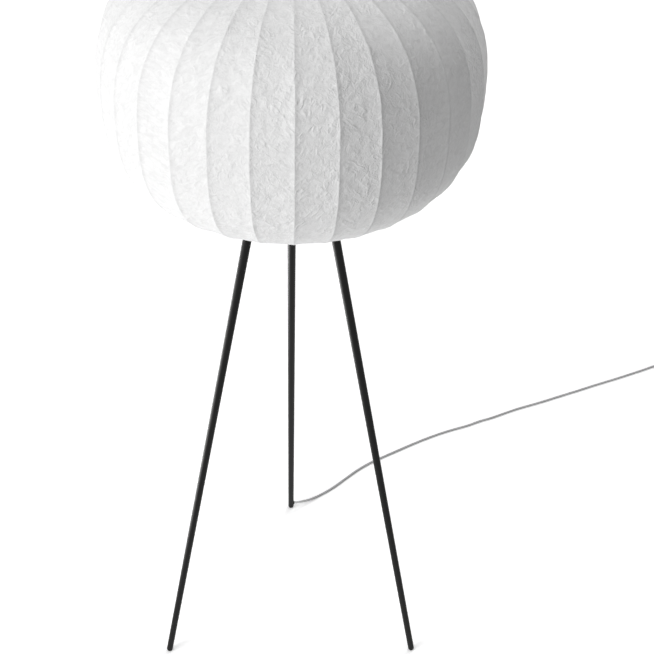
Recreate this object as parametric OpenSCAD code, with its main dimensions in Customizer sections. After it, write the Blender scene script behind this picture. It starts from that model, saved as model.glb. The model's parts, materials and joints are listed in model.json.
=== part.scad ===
/* [Shade] */
// Outer diameter of the shade, over its ribs
shade_d = 600; // [560:5:640]
// Height of the shade's curve, from pole to pole, as if both mouths were closed
shade_curve_h = 410; // [390:5:430]
// Height of the shade's middle above the underside of the hub
shade_rise = 150; // [140:2:160]
// How square the shade's shoulders are: the power of the radius in its curve
shoulder_power = 3.1; // [2.6:0.1:3.4]
// How square the shade's side is: the power of the height in its curve
side_power = 2.6; // [2.2:0.1:3]
// Number of ribs, and so of paper gores
rib_count = 30; // [24:2:32]
// Turn of the first rib from the front of the lamp, in degrees
rib_turn = 0.8; // [0:0.1:6]
// Diameter of the open mouth at the top and at the bottom
mouth_d = 220; // [200:5:240]
// Wall of the paper
paper_wall = 0.8; // [0.6:0.1:1.2]
// How far a gore draws in between its ribs, at the widest height
gore_sag = 1.5; // [0:0.5:4]

/* [Shade frame] */
// Diameter of the rib wires
rib_wire_d = 3; // [2:0.5:4]
// Diameter of the wire of the two mouth rings
ring_wire_d = 4.5; // [3.5:0.5:6]
// Diameter of the three spider arms
arm_d = 4; // [3:0.5:5]
// Bend radius of the arms, on their centre line
arm_bend_r = 12; // [8:1:20]
// Outer diameter of the spider's clamping ring
spider_ring_d = 54; // [50:1:60]
// Thickness of the spider's clamping ring
spider_ring_t = 2.5; // [2:0.5:4]

/* [Legs and hub] */
// Radius of the circle through the middles of the feet
foot_circle_r = 270; // [240:5:300]
// Height of the hub's underside above the floor
hub_z = 1000; // [800:10:1200]
// Radius of the circle through the leg axes at the hub's underside
hub_circle_r = 57.5; // [52:0.5:64]
// Outer diameter of a leg at its foot
leg_foot_d = 11.5; // [10:0.5:12.5]
// Outer diameter of a leg at the hub
leg_top_d = 15.5; // [14:0.5:16.5]
// Wall of the leg tube
leg_wall = 1; // [0.8:0.1:1.2]
// Depth of a leg in its boss
leg_seat = 30; // [26:1:32]
// Height of the hub
hub_h = 40; // [38:1:50]
// Wall of the hub
hub_wall = 3; // [2:0.5:4]
// Thickness of the hub's floor
hub_floor = 5; // [4:0.5:8]
// Thickness of the hub's cover
cover_t = 3; // [2:0.5:5]

/* [Lampholder and bulb] */
// Outer diameter of the threaded nipple
nipple_d = 10; // [9:0.5:11]
// Outer diameter of the lampholder
holder_d = 39; // [37:1:40]
// Wall of the lampholder's sleeve
holder_wall = 3; // [2:0.5:3]
// Inner diameter of the brass screw shell
shell_d = 27; // [26.8:0.1:28]
// Diameter of the bulb's glass
bulb_d = 60; // [54:1:70]
// Length of the bulb, from its tip to its top
bulb_l = 107; // [100:1:120]

/* [Cord] */
// Diameter of the textile cord
cord_d = 5; // [4.5:0.1:5.4]
// Distance of the cable outlet from the end of the rear leg, along the leg
outlet_s = 15; // [15:1:30]
// Full turns in each of the coil's two layers
coil_turns = 3; // [2:1:4]
// Radius of the coil's innermost turn
coil_inner_r = 20; // [18:1:26]
// Clear gap between neighbouring turns of the coil
turn_gap = 0.5; // [0.5:0.1:1]

/* [Foot switch] */
// Outer diameter of the foot switch
switch_d = 68; // [64:1:76]
// Height of the switch's base
switch_base_h = 13.5; // [13:0.5:16]
// Height of the switch's cover above the base
switch_cover_h = 8.5; // [8:0.5:12]
// Diameter of the push button
button_d = 34; // [30:1:36]
// Height of the button above the cover, at rest
button_rise = 5; // [5:0.5:8]
// Travel of the button
button_travel = 4; // [3:0.5:4]
// Length of the strain reliefs outside their housings
relief_l = 22; // [20:1:30]

/* [Plug] */
// Width of the plug
plug_w = 35; // [32:1:40]
// Length of the plug's body
plug_l = 36; // [32:1:44]
// Diameter of a plug pin
pin_d = 4; // [3.8:0.1:4.8]
// Length of a plug pin outside the body
pin_l = 19; // [17:1:22]
// Distance between the two pins' axes
pin_spacing = 18.6; // [17:0.1:20]

/* [Hidden] */
$fn = 64;

paper_colour = [0.93, 0.93, 0.92];
black = [0.10, 0.10, 0.10];
steel = [0.66, 0.67, 0.69];
white_wire = [0.85, 0.85, 0.84];
brass = [0.80, 0.64, 0.32];
plastic = [0.16, 0.16, 0.17];
ceramic = [0.90, 0.88, 0.84];
cord_grey = [0.50, 0.50, 0.50];
core_brown = [0.35, 0.25, 0.20];
opal = [0.96, 0.96, 0.93];

turn = 360;

over = 1;            // how far a cut runs past the face that it opens
slip = 0.1;          // radial clearance of plain fits
thread_slip = 0.05;  // radial clearance of screws in their threads
weld = 0.5;          // depth to which welded wires run into each other
room = 0.3;          // clear gap between parts that only pass each other

// Legs: places along a leg are measured on its axis, from the floor
leg_azimuths = [-150, -30, 90];
rear = leg_azimuths[2];
lean = atan((foot_circle_r - hub_circle_r) / hub_z);
leg_hub_s = hub_z / cos(lean);
leg_top_s = leg_hub_s + leg_seat;
leg_straight = 40;                        // length of the plain top end of a leg
foot_ball_r = leg_foot_d / 2;
foot_flat_r = 0.6 * foot_ball_r;          // radius of the flat on which a foot stands
foot_ball_z = sqrt(foot_ball_r * foot_ball_r - foot_flat_r * foot_flat_r);
foot_ball_s = foot_ball_z / cos(lean);
foot_neck = 1.4;                          // plain length between a foot's ball and its tube
foot_head = foot_ball_s + foot_neck;
foot_spigot = 5;
leg_taper_s = leg_top_s - leg_straight;

// The leg's outer radius at a place on its taper
function taper_r(s) =
    leg_foot_d / 2 + (leg_top_d - leg_foot_d) / 2 * (s - foot_head) / (leg_taper_s - foot_head);

// Hub
boss_wall = 3.5;
boss_r = leg_top_d / 2 + slip + boss_wall;
boss_gap = 1.5;                           // from a boss to the hub's wall, at its underside
hub_r = hub_circle_r + boss_r + boss_gap + hub_wall;
pad_w = 14;
pad_h = 20;
grub_d = 5;
grub_l = 10;
grub_socket_r = 1.4;
grub_socket_l = 3;
grub_s = leg_hub_s + leg_seat / 2;
post_azimuths = [for (a = leg_azimuths) a + 60];
post_r = 6;
post_root = 1;                            // depth to which a post runs into the hub's wall
post_circle_r = hub_r - hub_wall - post_r + post_root;
cover_screw_d = 4;
cover_screw_l = 12;
cover_head_d = 7.6;
cover_head_h = 2.4;
cover_socket_r = 1.5;
cover_socket_l = 1.4;
cover_z = hub_z + hub_h;

// Lampholder stack, from the hub's cover upwards
nut_h = 5;
lock_nut_h = 3;
nut_af = 14;
nipple_wall = 1.5;
nipple_tail = 2;                          // length of the nipple below its lower nut
nipple_grip = 8;                          // length of the nipple in the lampholder's cap
nipple_z = cover_z - nut_h - nipple_tail;
cap_z = cover_z + cover_t + lock_nut_h;
cap_neck_wall = 4;
cap_neck_r = nipple_d / 2 + cap_neck_wall;
cap_neck_h = 4;
cap_shoulder_h = 9;
cap_h = 22;
cap_wall = 2;
nipple_top_z = cap_z + nipple_grip;
sleeve_z = cap_z + cap_h;
sleeve_h = 40;
holder_r = holder_d / 2;
sleeve_bore_r = holder_r - holder_wall;
spigot_h = 6;
ledge = 2;
block_h = 14;
block_z = sleeve_z - spigot_h + ledge;
block_top_z = block_z + block_h;
shell_wall = 0.75;
shell_h = 24;
contact_r = 4;
contact_h = 3.5;
contact_gap = 2;

// Shade clamp on the lampholder's sleeve
clamp_h = 8;
support_rise = 10;
support_z = sleeve_z + support_rise;
spider_z = support_z + clamp_h;
arm_z = spider_z + spider_ring_t / 2;
clamp_r = spider_ring_d / 2 - weld - room;
clamp_bore_r = holder_r + slip;
spider_slip = 1;
spider_bore_r = holder_r + spider_slip;

// Bulb, measured from its tip
bulb_z = block_top_z + contact_h;
bulb_cap_slip = 0.4;
bulb_cap_r = shell_d / 2 - bulb_cap_slip;
bulb_cap_wall = 0.5;
bulb_contact_r = 4.7;
bulb_contact_h = 1.2;
insulator_step = 2;
bulb_cap_z0 = 5;
bulb_cap_z1 = 26;
bulb_flare = 1.4;
bulb_neck_r = bulb_cap_r + bulb_flare;
bulb_neck_z = 34;
bulb_root = 5;                            // depth of the glass in the bulb's cap
bulb_root_r = bulb_cap_r - bulb_cap_wall - slip;
bulb_r = bulb_d / 2;
bulb_ball_z = bulb_l - bulb_r;
bulb_taper_angle = 112;                   // where the taper meets the ball, from the top
glass_wall = 1;

// Shade: each row of the curve is [radius, height above the middle]
shade_z = hub_z + shade_rise;
shade_r = shade_d / 2;
shade_half_h = shade_curve_h / 2;
mouth_r = mouth_d / 2;
gore_rows = 14;
gore_steps = 3;
wire_sides = 6;
gore_gap = 0.3;                           // gap between neighbouring gores, over a rib
rib_step = turn / rib_count;
mouth_angle = acos(pow(mouth_r / shade_r, shoulder_power / 2));
rib_gap = 0.25;                           // from the paper's inside to a rib
rib_drop = paper_wall + rib_gap + rib_wire_d / 2;

function signed_power(x, p) = sign(x) * pow(abs(x), p);

// A point of the shade's outline, r^a + z^b = 1, at an angle of its parameter
function outline(angle) =
    [shade_r * pow(cos(angle), 2 / shoulder_power),
     shade_half_h * signed_power(sin(angle), 2 / side_power)];

// The outward normal of the outline there
function outline_normal(angle) =
    let (p = outline(angle),
         n = [shoulder_power / shade_r * pow(p[0] / shade_r, shoulder_power - 1),
              side_power / shade_half_h * signed_power(p[1] / shade_half_h, side_power - 1)])
    n / norm(n);

function row_angle(i) = mouth_angle * (2 * i / gore_rows - 1);
function inset_outline(i, depth) = outline(row_angle(i)) - depth * outline_normal(row_angle(i));

ring_gap = 0.7;                           // from the edge of a mouth to its ring
ring_r = mouth_r - ring_gap - ring_wire_d / 2;
rib_end_r = mouth_r - ring_gap - weld;
ring_rise = inset_outline(gore_rows, rib_drop)[1];
bottom_ring_z = shade_z - ring_rise;
top_ring_z = shade_z + ring_rise;

// Cable outlet in the rear leg; across is the distance from the leg's axis
outlet_z = outlet_s * cos(lean);
outlet_y = foot_circle_r - outlet_s * sin(lean);
bush_wall = 0.6;
bush_bore_d = cord_d + slip;
bush_d = bush_bore_d + 2 * bush_wall;
bush_flange = 0.85;
bush_flange_d = bush_d + 2 * bush_flange;
bush_rise = 1.2;                          // height of the flange above the leg
bush_across = leg_foot_d / 2 + bush_rise;
cord_end_across = 2.6;

// Insulated cores inside the rear leg, the hub and the nipple
core_d = 1.8;
core_side = 1.2;                          // from the leg's axis to a core's
core_spread = 5;                          // from the lampholder's axis to a core's end
core_bore_d = core_d + 4 * slip;
core_depth = 6;
core_end_gap = 0.5;
core_turn = 2;                            // from a leg's top end to where the cores bend

// Where each core leaves the sheath: [distance from the leg's axis, height above the outlet]
core_starts = [[[1.1, -1.1], [-0.3, -0.3], [-1, 1.2], [-1.2, 4]],
               [[1.8, 1.35], [1.35, 1.9], [1.2, 4]]];

// The cores' arch in the hub: [share of the way out to the leg's end, depth below the cover]
core_arch = [[0.95, 6], [0.86, 4], [0.68, 5], [0.45, 12], [0.25, 20], [0.1, 22], [0.02, 19], [0, 14]];

// Where the cores part above the nipple: [share of their spread, height above it]
core_fan = [[0.6, 4], [1, 8]];

// Cord: heights in the routes are above a cord that lies on the floor
floor_z = cord_d / 2;
switch_x = 962;
switch_y = 644;
switch_r = switch_d / 2;
cord_entry_z = 8;
cord_ends = [0, 0.6, 1.2];                // straight ends of a cord, in its diameters
entry_run = 3;                            // where the cord starts to rise to the switch
entry_drop = 0.6;
inlet_y = switch_y + switch_r + relief_l;
outlet_tip_y = switch_y - switch_r - relief_l;
floor_route = [
    [25, 275.5, 7.5], [38, 284.5, 3.5], [51, 295, 0.8],
    [64, 304.5, 0], [91, 327, 0], [118, 355, 0], [146, 384, 0], [174, 408, 0],
    [206, 430, 0], [237, 450, 0], [265, 468, 0], [294, 486, 0], [322, 502, 0],
    [351, 517, 0], [380, 530, 0], [409, 542, 0], [439, 558, 0], [469, 571, 0],
    [529, 602, 0], [589, 628, 0], [653, 658, 0], [688, 674, 0], [723, 691, 0],
    [758, 707, 0], [793, 723, 0], [828, 740, 0], [863, 757, 0], [896, 774, 0],
    [918, 780, 0], [938, 774, 0], [954, 759, 0], [962, 738, 1]];
lead_route = [[962, 574, 4], [962, 566, 1.8], [962, 559.5, 0.4]];
cord_sides = 8;

// Coil
layer_step = cord_d + turn_gap;
coil_outer_r = coil_inner_r + layer_step * coil_turns;
coil_climb = 180;                         // angle over which the coil climbs to its second layer
coil_rings = 24;
coil_sides = 6;
coil_x = switch_x - coil_outer_r;
coil_y = 543;
coil_end_l = 2 * cord_d;

// Foot switch
switch_wall = 2;
switch_floor = 3;
switch_edge_r = 6;
button_r = button_d / 2;
button_flange = 1.5;
button_flange_r = button_r + button_flange;
button_flange_h = 1.5;
button_top_t = 2;
button_skirt = 2;
switch_top_z = switch_base_h + switch_cover_h;
button_top_z = switch_top_z + button_rise;
button_flange_z = switch_top_z - switch_wall - room - button_flange_h;
button_ceiling_z = button_top_z - button_top_t;
stop_gap = 0.2;                           // what is left above the stop when the button is down
stop_z = button_ceiling_z - button_travel - stop_gap;
stop_r = 4;
spring_r = 6;
spring_wire_d = 1.2;
spring_turns = 5;
spring_rings = 8;
switch_post_r = 3.5;
switch_post_circle_r = switch_r - switch_wall - switch_post_r - room;
switch_post_reach = switch_post_circle_r + switch_post_r - (switch_r - switch_edge_r);
switch_post_top_z = switch_top_z - switch_edge_r - room
    + sqrt(pow(switch_edge_r, 2) - pow(switch_post_reach, 2));   // a little under the cover's rounded rim
switch_post_azimuths = [0, 120, 240];
switch_screw_d = 3;
switch_screw_l = 8;
switch_head_d = 5.6;
switch_head_h = 2;
screw_sink = 0.3;                         // depth of a screw's head below the switch's underside
relief_wall = 0.8;
relief_tip_r = cord_d / 2 + relief_wall;
relief_flange = 0.9;
relief_flange_r = cord_entry_z - switch_floor - slip;
relief_base_r = relief_flange_r - relief_flange;
relief_flange_l = 2;
relief_seat = switch_r - sqrt(pow(switch_r - switch_wall, 2) - pow(relief_flange_r, 2)) + slip;
terminal_size = [14, 8, 6];
terminal_inset = 12;                      // from the switch's side to a contact block's middle

// Plug
plug_h = 2 * (floor_z + layer_step);
plug_z = plug_h / 2;
plug_back_w = 16;
plug_bevel = 2;
plug_wide_l = 0.45 * plug_l;
plug_relief_y = coil_y - coil_end_l;
plug_back_y = plug_relief_y - relief_l;
plug_face_y = plug_back_y - plug_l;
pin_seat = 10;
pin_sleeve_l = 10;                        // length of a pin's insulating sleeve outside the plug
pin_sleeve_wall = 0.35;
pin_sleeve_step = 0.35;                   // how far a sleeve stands back from its pin's bare tip
pin_sleeve_r = pin_d / 2 - pin_sleeve_step;
pin_shank_r = pin_sleeve_r - pin_sleeve_wall - thread_slip;

// ---------------------------------------------------------------- general forms

function unit(v) = v / norm(v);

function direction(p, i) =
    i == 0 ? unit(p[1] - p[0]) :
    i == len(p) - 1 ? unit(p[i] - p[i - 1]) :
    unit(unit(p[i + 1] - p[i]) + unit(p[i] - p[i - 1]));

// For each point of a path its direction, and a side that turns as little as it can
function frames(p, side) =
    [for (i = 0, t = direction(p, 0), n = unit(side - (side * t) * t);
          i < len(p);
          i = i + 1,
          t = i < len(p) ? direction(p, i) : t,
          n = unit(n - (n * t) * t)) [t, n]];

// A round tube of flat faces along a path
module tube_along(p, r, sides, side = [0, 0, 1]) {
    f = frames(p, side);
    last = (len(p) - 1) * sides;
    points = [for (i = [0 : len(p) - 1], k = [0 : sides - 1])
        let (a = turn * k / sides, b = cross(f[i][0], f[i][1]))
        p[i] + r * (cos(a) * f[i][1] + sin(a) * b)];
    walls = [for (i = [0 : len(p) - 2], k = [0 : sides - 1], half = [0, 1])
        let (a = i * sides + k, b = i * sides + (k + 1) % sides)
        half == 0 ? [a, a + sides, b] : [b, a + sides, b + sides]];
    ends = [for (k = [1 : sides - 2], end = [0, 1])
        end == 0 ? [0, k, k + 1] : [last, last + k + 1, last + k]];
    polyhedron(points, concat(walls, ends), convexity = 10);
}

// A smooth curve through every point of a route, with two steps to each stretch
function smooth_route(p) =
    concat([for (i = [0 : len(p) - 2], t = [0, 0.5])
        let (a = i == 0 ? 2 * p[0] - p[1] : p[i - 1],
             b = p[i],
             c = p[i + 1],
             d = i == len(p) - 2 ? 2 * c - b : p[i + 2])
        0.5 * (2 * b + (c - a) * t + (2 * a - 5 * b + 4 * c - d) * t * t
               + (3 * b - a - 3 * c + d) * t * t * t)],
        [p[len(p) - 1]]);

function lifted(route) = [for (p = route) [p[0], p[1], p[2] + floor_z]];

// Places its children in a leg's own frame: x outwards, z up the leg's axis
module on_leg(azimuth)
    rotate([0, 0, azimuth]) translate([foot_circle_r, 0, 0]) rotate([0, -lean, 0]) children();

module ring_of(azimuths, r)
    for (a = azimuths) rotate([0, 0, a]) translate([r, 0, 0]) children();

module tube(outer_r, inner_r, h)
    difference() {
        cylinder(h = h, r = outer_r);
        translate([0, 0, -over]) cylinder(h = h + 2 * over, r = inner_r);
    }

// ---------------------------------------------------------------- legs and feet

// A ball-ended foot, cut flat at the floor, with a spigot that fills the tube's end
module foot(azimuth)
    color(black) intersection() {
        on_leg(azimuth) translate([0, 0, foot_ball_s]) {
            rotate_extrude() intersection() {
                circle(r = foot_ball_r);
                translate([0, -foot_ball_r]) square(foot_ball_r);
            }
            cylinder(h = foot_neck, r = foot_ball_r);
            cylinder(h = foot_neck + foot_spigot, r = leg_foot_d / 2 - leg_wall - thread_slip);
        }
        cylinder(h = 2 * foot_head + foot_spigot, r = foot_circle_r + leg_foot_d);
    }

module leg_tube()
    rotate_extrude() polygon([
        [leg_foot_d / 2 - leg_wall, foot_head], [leg_foot_d / 2, foot_head],
        [leg_top_d / 2, leg_taper_s], [leg_top_d / 2, leg_top_s],
        [leg_top_d / 2 - leg_wall, leg_top_s], [leg_top_d / 2 - leg_wall, leg_taper_s]]);

module leg(azimuth)
    color(black) on_leg(azimuth) leg_tube();

module leg_with_outlet()
    color(black) on_leg(rear) difference() {
        leg_tube();
        translate([0, 0, outlet_s]) rotate([90, 0, 0])
            cylinder(h = leg_top_d, d = bush_d + slip);
    }

// A hexagon-socket grub screw across each boss, square to its leg
module leg_grub_screws()
    color(steel) for (a = leg_azimuths)
        on_leg(a) translate([leg_top_d / 2 + slip, 0, grub_s]) rotate([0, 90, 0])
            difference() {
                cylinder(h = grub_l, d = grub_d);
                translate([0, 0, grub_l - grub_socket_l])
                    cylinder(h = grub_socket_l + over, r = grub_socket_r, $fn = 6);
            }

// ---------------------------------------------------------------- hub

module leg_bores(clearance)
    for (a = leg_azimuths)
        on_leg(a) translate([0, 0, leg_hub_s - leg_seat])
            cylinder(h = leg_seat + 2 * hub_h, r = leg_top_d / 2 + clearance);

module hub_body()
    color(black) difference() {
        union() {
            translate([0, 0, hub_z]) difference() {
                cylinder(h = hub_h, r = hub_r);
                translate([0, 0, hub_floor]) cylinder(h = hub_h, r = hub_r - hub_wall);
            }
            // Bosses and their pads, cut off at the hub's underside and at its wall
            intersection() {
                for (a = leg_azimuths) on_leg(a) {
                    translate([0, 0, leg_hub_s - leg_seat])
                        cylinder(h = leg_seat + 2 * hub_h, r = boss_r);
                    translate([0, -pad_w / 2, grub_s - pad_h / 2])
                        cube([hub_r, pad_w, pad_h]);
                }
                translate([0, 0, hub_z]) cylinder(h = hub_h, r = hub_r - hub_wall / 2);
            }
            translate([0, 0, hub_z]) ring_of(post_azimuths, post_circle_r)
                cylinder(h = hub_h, r = post_r);
        }
        leg_bores(slip);
        // Room above the legs' ends for the cores to turn
        for (a = leg_azimuths) on_leg(a) translate([-boss_r - over, -boss_r - over, leg_top_s])
            cube([2 * (boss_r + over), 2 * (boss_r + over), 2 * hub_h]);
        for (a = leg_azimuths)
            on_leg(a) translate([0, 0, grub_s]) rotate([0, 90, 0])
                cylinder(h = hub_r, d = grub_d + 2 * thread_slip);
        translate([0, 0, cover_z - cover_screw_l]) ring_of(post_azimuths, post_circle_r)
            cylinder(h = cover_screw_l + over, d = cover_screw_d + 2 * thread_slip);
    }

module hub_cover()
    color(black) translate([0, 0, cover_z]) difference() {
        cylinder(h = cover_t, r = hub_r);
        translate([0, 0, -over]) cylinder(h = cover_t + 2 * over, d = nipple_d + 2 * slip);
        translate([0, 0, -over]) ring_of(post_azimuths, post_circle_r)
            cylinder(h = cover_t + 2 * over, d = cover_screw_d + 4 * slip);
    }

module hub_cover_screws()
    color(steel) translate([0, 0, cover_z + cover_t]) ring_of(post_azimuths, post_circle_r)
        difference() {
            union() {
                cylinder(h = cover_head_h, d = cover_head_d);
                translate([0, 0, -cover_screw_l])
                    cylinder(h = cover_screw_l + over, d = cover_screw_d);
            }
            translate([0, 0, cover_head_h - cover_socket_l])
                cylinder(h = cover_socket_l + over, r = cover_socket_r, $fn = 6);
        }

// ---------------------------------------------------------------- lampholder

module nipple()
    color(steel) translate([0, 0, nipple_z])
        tube(nipple_d / 2, nipple_d / 2 - nipple_wall, nipple_top_z - nipple_z);

module nut(h)
    difference() {
        cylinder(h = h, r = nut_af / 2 / cos(30), $fn = 6);
        translate([0, 0, -over]) cylinder(h = h + 2 * over, r = nipple_d / 2 + thread_slip);
    }

module nipple_nuts()
    color(steel) {
        translate([0, 0, cover_z - nut_h]) nut(nut_h);
        translate([0, 0, cover_z + cover_t]) nut(lock_nut_h);
    }

module lampholder_cap()
    color(ceramic) translate([0, 0, cap_z]) rotate_extrude() polygon([
        [nipple_d / 2 + thread_slip, 0], [cap_neck_r, 0], [cap_neck_r, cap_neck_h],
        [holder_r, cap_shoulder_h], [holder_r, cap_h],
        [holder_r - cap_wall, cap_h], [holder_r - cap_wall, cap_shoulder_h + cap_wall],
        [cap_neck_r - cap_wall / 2, cap_neck_h + cap_wall],
        [nipple_d / 2 + thread_slip, cap_neck_h + cap_wall]]);

// The sleeve stands on the cap; its spigot goes inside and carries the block on a ledge
module lampholder_sleeve()
    color(ceramic) translate([0, 0, sleeve_z]) rotate_extrude() polygon([
        [sleeve_bore_r - ledge, -spigot_h], [holder_r - cap_wall - slip, -spigot_h],
        [holder_r - cap_wall - slip, 0], [holder_r, 0],
        [holder_r, sleeve_h], [sleeve_bore_r, sleeve_h],
        [sleeve_bore_r, ledge - spigot_h], [sleeve_bore_r - ledge, ledge - spigot_h]]);

module terminal_block()
    color(ceramic) translate([0, 0, block_z]) difference() {
        cylinder(h = block_h, r = sleeve_bore_r - slip);
        for (side = [-1, 1]) translate([side * core_spread, 0, -over])
            cylinder(h = core_depth + over, d = core_bore_d);
    }

module lamp_screw_shell()
    color(brass) translate([0, 0, block_top_z]) difference() {
        cylinder(h = shell_h, r = shell_d / 2 + shell_wall);
        translate([0, 0, shell_wall]) cylinder(h = shell_h, r = shell_d / 2);
        translate([0, 0, -over])
            cylinder(h = shell_wall + 2 * over, r = contact_r + contact_gap);
    }

module centre_contact()
    color(brass) translate([0, 0, block_top_z]) cylinder(h = contact_h, r = contact_r);

// ---------------------------------------------------------------- shade clamp and spider

module clamp_ring(z)
    color(ceramic) translate([0, 0, z]) tube(clamp_r, clamp_bore_r, clamp_h);

module spider_ring()
    color(white_wire) translate([0, 0, spider_z])
        tube(spider_ring_d / 2, spider_bore_r, spider_ring_t);

// An arm: out from the clamping ring, round one bend and down to the bottom ring
module spider_arm(azimuth)
    color(white_wire) rotate([0, 0, azimuth]) {
        start_r = spider_ring_d / 2 - weld;
        bend_start = ring_r - arm_bend_r;
        foot_z = bottom_ring_z + ring_wire_d / 2 - weld;
        translate([start_r, 0, arm_z]) rotate([0, 90, 0])
            cylinder(h = bend_start - start_r, d = arm_d);
        translate([bend_start, 0, arm_z - arm_bend_r]) rotate([90, 0, 0])
            rotate_extrude(angle = 90) translate([arm_bend_r, 0]) circle(d = arm_d);
        translate([ring_r, 0, foot_z]) cylinder(h = arm_z - arm_bend_r - foot_z, d = arm_d);
    }

module mouth_ring(z)
    color(white_wire) translate([0, 0, z])
        rotate_extrude() translate([ring_r, 0]) circle(d = ring_wire_d);

// ---------------------------------------------------------------- paper shade

// Ribs: wires of six flat sides that follow the paper's inside from ring to ring
module rib_wires()
    color(white_wire) translate([0, 0, shade_z]) {
        rows = [for (i = [0 : gore_rows]) inset_outline(i, rib_drop)];
        path = [for (i = [0 : gore_rows])
            [i % gore_rows == 0 ? rib_end_r : rows[i][0], 0, rows[i][1]]];
        for (k = [0 : rib_count - 1])
            rotate([0, 0, -90 + rib_turn + k * rib_step])
                tube_along(path, rib_wire_d / 2, wire_sides, [0, 1, 0]);
    }

// A point of a gore's skin: row i, step j across, at a depth below its outside
function gore_point(i, j, depth) =
    let (o = outline(row_angle(i)),
         n = outline_normal(row_angle(i)),
         edge = asin(gore_gap / 2 / o[0]),
         u = j / gore_steps,
         a0 = edge,
         a1 = rib_step - edge,
         r = o[0] - depth * n[0],
         left = [r * cos(a0), r * sin(a0)],
         right = [r * cos(a1), r * sin(a1)],
         sag = 4 * u * (1 - u) * gore_sag * o[0] / shade_r,
         flat = left * (1 - u) + right * u - sag * n[0] * [cos(rib_step / 2), sin(rib_step / 2)])
    [flat[0], flat[1], o[1] - depth * n[1] - sag * n[1]];

// One gore: a skin of even wall that is drawn in between its two ribs
module gore() {
    across = gore_steps + 1;
    layer = (gore_rows + 1) * across;
    points = [for (depth = [0, paper_wall], i = [0 : gore_rows], j = [0 : gore_steps])
        gore_point(i, j, depth)];
    skins = [for (i = [0 : gore_rows - 1], j = [0 : gore_steps - 1], half = [0, 1])
        let (a = i * across + j, b = a + 1, c = a + across, d = c + 1)
        half == 0 ? [a, c, b] : [b, c, d]];
    linings = [for (f = skins) [f[0] + layer, f[2] + layer, f[1] + layer]];
    sides = [for (i = [0 : gore_rows - 1], end = [0, gore_steps], half = [0, 1])
        let (a = i * across + end, c = a + across,
             f = half == 0 ? [a, a + layer, c] : [c, a + layer, c + layer])
        end == 0 ? f : [f[0], f[2], f[1]]];
    rims = [for (row = [0, gore_rows], j = [0 : gore_steps - 1], half = [0, 1])
        let (a = row * across + j, b = a + 1,
             f = half == 0 ? [a, b, a + layer] : [b, b + layer, a + layer])
        row == 0 ? f : [f[0], f[2], f[1]]];
    polyhedron(points, concat(skins, linings, sides, rims), convexity = 4);
}

module paper_gores()
    color(paper_colour) translate([0, 0, shade_z]) for (k = [0 : rib_count - 1])
        rotate([0, 0, -90 + rib_turn + k * rib_step]) gore();

// ---------------------------------------------------------------- bulb

// The glass: a ball, its taper and a neck that stands in the bulb's cap
module bulb_form(inset) {
    taper_r = bulb_r * sin(bulb_taper_angle);
    taper_z = bulb_ball_z + bulb_r * cos(bulb_taper_angle);
    translate([0, 0, bulb_ball_z]) sphere(r = bulb_r - inset);
    translate([0, 0, bulb_neck_z])
        cylinder(h = taper_z - bulb_neck_z, r1 = bulb_neck_r - inset, r2 = taper_r - inset);
    translate([0, 0, bulb_cap_z1 + slip])
        cylinder(h = bulb_neck_z - bulb_cap_z1 - slip, r1 = bulb_cap_r - inset, r2 = bulb_neck_r - inset);
}

module bulb_glass()
    color(opal) translate([0, 0, bulb_z]) difference() {
        union() {
            bulb_form(0);
            translate([0, 0, bulb_cap_z1 - bulb_root])
                cylinder(h = bulb_root + over, r = bulb_root_r);
        }
        bulb_form(glass_wall);
        translate([0, 0, bulb_cap_z1 - bulb_root - over])
            cylinder(h = bulb_root + 3 * over, r = bulb_root_r - glass_wall);
    }

module bulb_cap()
    color(steel) translate([0, 0, bulb_z + bulb_cap_z0])
        tube(bulb_cap_r, bulb_cap_r - bulb_cap_wall, bulb_cap_z1 - bulb_cap_z0);

module bulb_insulator()
    color(plastic) translate([0, 0, bulb_z]) rotate_extrude() polygon([
        [0, bulb_contact_h], [bulb_contact_r, bulb_contact_h],
        [bulb_cap_r - insulator_step, bulb_cap_z0], [bulb_root_r, bulb_cap_z0],
        [bulb_root_r, bulb_cap_z0 + insulator_step], [0, bulb_cap_z0 + insulator_step]]);

module bulb_contact()
    color(brass) translate([0, 0, bulb_z]) cylinder(h = bulb_contact_h, r = bulb_contact_r);

// ---------------------------------------------------------------- outlet and cores

// A flanged bush in the rear leg; its flange is cut to the leg's curve
module outlet_bush()
    color(plastic) on_leg(rear) translate([0, 0, outlet_s]) rotate([90, 0, 0]) difference() {
        union() {
            difference() {
                cylinder(h = bush_across, d = bush_flange_d);
                rotate([-90, 0, 0]) cylinder(h = 2 * bush_flange_d,
                                             r = taper_r(outlet_s) + thread_slip, center = true);
            }
            translate([0, 0, cord_end_across])
                cylinder(h = bush_across - cord_end_across, d = bush_d);
        }
        translate([0, 0, -over]) cylinder(h = bush_across + 2 * over, d = bush_bore_d);
    }

// The cord's sheathed end, held in the bush
module cord_end()
    color(cord_grey) on_leg(rear) translate([0, 0, outlet_s]) rotate([90, 0, 0])
        translate([0, 0, cord_end_across])
            cylinder(h = bush_across - cord_end_across, d = cord_d);

// A point of the rear leg's own plane, at a distance from its axis and a place along it
function in_leg(x, s) = [x, foot_circle_r - s * sin(lean), s * cos(lean)];

// A core's route: out of the sheath, up the leg, over in the hub and up the nipple
function core_route(k) =
    let (side = 2 * k - 1,
         w = side * core_side,
         reach = in_leg(0, leg_top_s)[1])
    concat(
        [in_leg(cord_end_across - slip, outlet_s + w)],
        [for (p = core_starts[k]) in_leg(p[0], outlet_s + p[1])],
        [in_leg(w, leg_top_s - core_turn)],
        [for (p = core_arch) [w, p[0] * reach, cover_z - p[1]]],
        [[w, 0, nipple_top_z]],
        [for (p = core_fan) [side * core_spread * p[0], 0, nipple_top_z + p[1]]],
        [[side * core_spread, 0, block_z + core_depth - core_end_gap]]);

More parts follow.
